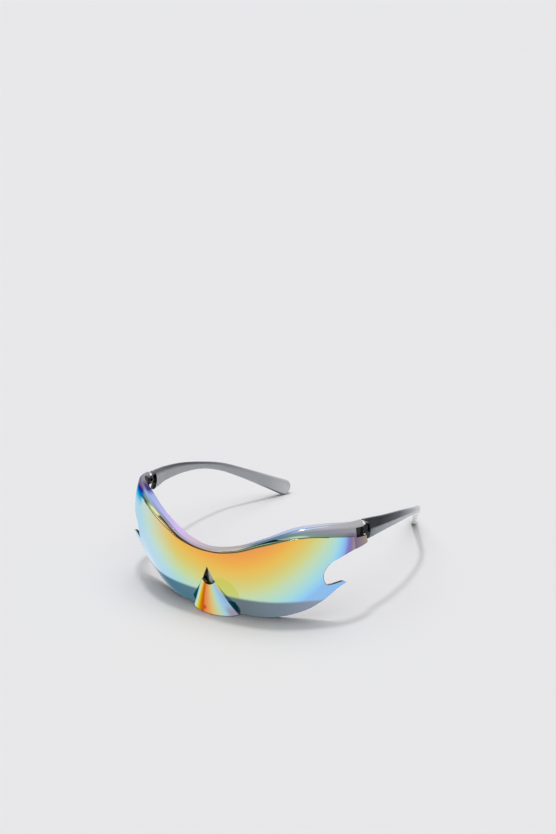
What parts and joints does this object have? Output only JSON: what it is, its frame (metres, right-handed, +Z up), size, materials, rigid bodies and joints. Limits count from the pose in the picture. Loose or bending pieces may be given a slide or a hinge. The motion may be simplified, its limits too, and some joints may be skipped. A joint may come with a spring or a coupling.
{
  "type": "wraparound sunglasses",
  "caption": "Wraparound sunglasses: a one-piece mirror shield with a moulded nose cone under a stepped mirror brow bar, and two thin smoke-plastic temples on folding hinges.",
  "frame": {"origin": "on the ground under the middle of the glasses, lying as they do on a table", "axes": "-Y is the front, +Y runs back along the open temples, +X is the wearer's left and +Z is up"},
  "size_m": [0.1438, 0.1671, 0.0556],
  "materials": {
    "mirror_lens": "polished, with a rainbow mirror coat",
    "mirror_brow": "polished, with a pale violet mirror coat",
    "smoke_plastic": "clear grey, polished",
    "black_metal": "black, satin",
    "steel": "bright"
  },
  "bodies": {
    "front": {"brow_bar": "mirror_brow", "shield_lens": "mirror_lens", "hinge_front_leaf_left": "black_metal", "hinge_pin_left": "steel", "front_leaf_screw_left_fore": "steel", "front_leaf_screw_left_rear": "steel", "hinge_front_leaf_right": "black_metal", "hinge_pin_right": "steel", "front_leaf_screw_right_fore": "steel", "front_leaf_screw_right_rear": "steel"},
    "temple_left": {"temple_left": "smoke_plastic", "hinge_temple_leaf_left": "black_metal", "temple_leaf_rivet_left_fore": "steel", "temple_leaf_rivet_left_rear": "steel"},
    "temple_right": {"temple_right": "smoke_plastic", "hinge_temple_leaf_right": "black_metal", "temple_leaf_rivet_right_fore": "steel", "temple_leaf_rivet_right_rear": "steel"}
  },
  "joints": [
    {"name": "temple_fold_left", "type": "hinge", "parent": "front", "child": "temple_left", "pos_m": [0.06739, -0.03856, 0.0474], "axis": [0, 0.1736, 0.9848], "range_deg": [0, 82]},
    {"name": "temple_fold_right", "type": "hinge", "parent": "front", "child": "temple_right", "pos_m": [-0.06739, -0.03856, 0.0474], "axis": [0, -0.1736, -0.9848], "range_deg": [0, 76]}
  ]
}
